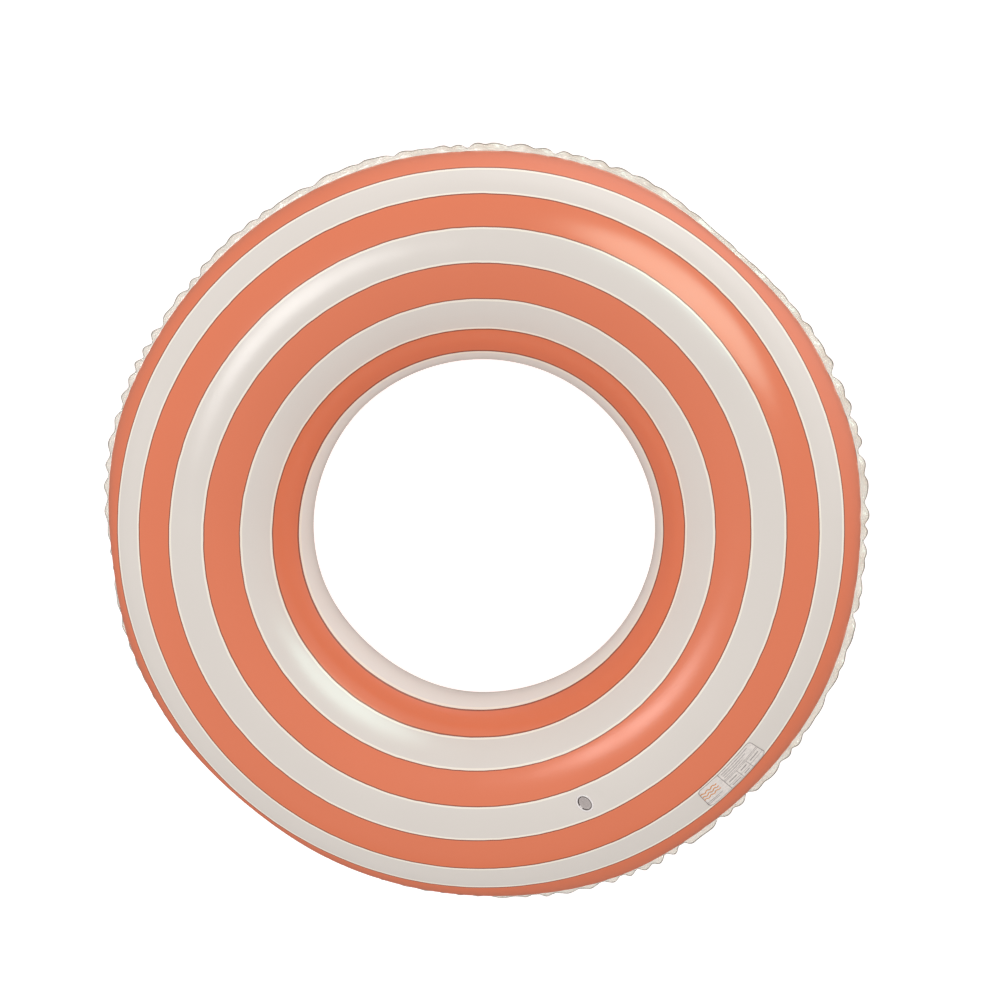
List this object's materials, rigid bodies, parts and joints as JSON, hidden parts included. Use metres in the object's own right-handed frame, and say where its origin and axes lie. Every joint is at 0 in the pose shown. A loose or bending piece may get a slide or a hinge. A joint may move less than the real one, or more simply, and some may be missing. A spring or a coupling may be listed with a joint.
{
  "type": "inflatable swim ring",
  "caption": "Round inflatable swim ring with striped film, a frilled outer weld and a push-in safety valve with a tethered cap.",
  "frame": {"origin": "on the ring's axis, on the surface that the back film rests on", "axes": "+Z along the ring's axis, out of the front film; +X right and +Y up as seen from the front"},
  "size_m": [0.921, 0.921, 0.2455],
  "materials": {
    "printed_film": "soft glossy vinyl film, cream with four coral stripes",
    "plain_film": "soft glossy vinyl film, cream with coral stripes",
    "clear_weld": "clear fused vinyl, milky",
    "valve_vinyl": "moulded translucent soft vinyl, satin",
    "cap_vinyl": "moulded translucent soft vinyl, satin"
  },
  "bodies": {
    "ring": {"front_panel": "printed_film", "back_panel": "plain_film", "outer_seam": "clear_weld", "inner_seam": "clear_weld", "valve_flange": "valve_vinyl", "valve_collar": "valve_vinyl"},
    "stem": {"valve_stem": "valve_vinyl", "cap_tether": "cap_vinyl"},
    "cap": {"valve_cap": "cap_vinyl"},
    "flap": {"valve_flap": "valve_vinyl"}
  },
  "joints": [
    {"name": "valve_slide", "type": "slide", "parent": "ring", "child": "stem", "axis": [0, 0, 1], "range_m": [0, 0.012], "deforming": ["valve_collar"]},
    {"name": "cap_hinge", "type": "hinge", "parent": "stem", "child": "cap", "pos_m": [0.11466, -0.31635, 0.245], "axis": [0.7071, -0.7071, 0], "range_deg": [0, 135], "deforming": ["cap_tether"]},
    {"name": "flap_hinge", "type": "hinge", "parent": "stem", "child": "flap", "pos_m": [0.12442, -0.3066, 0.2307], "axis": [0.7071, -0.7071, 0], "range_deg": [0, 50], "stiffness_Nm_per_rad": 0.0002, "springref_deg": -8.59}
  ]
}
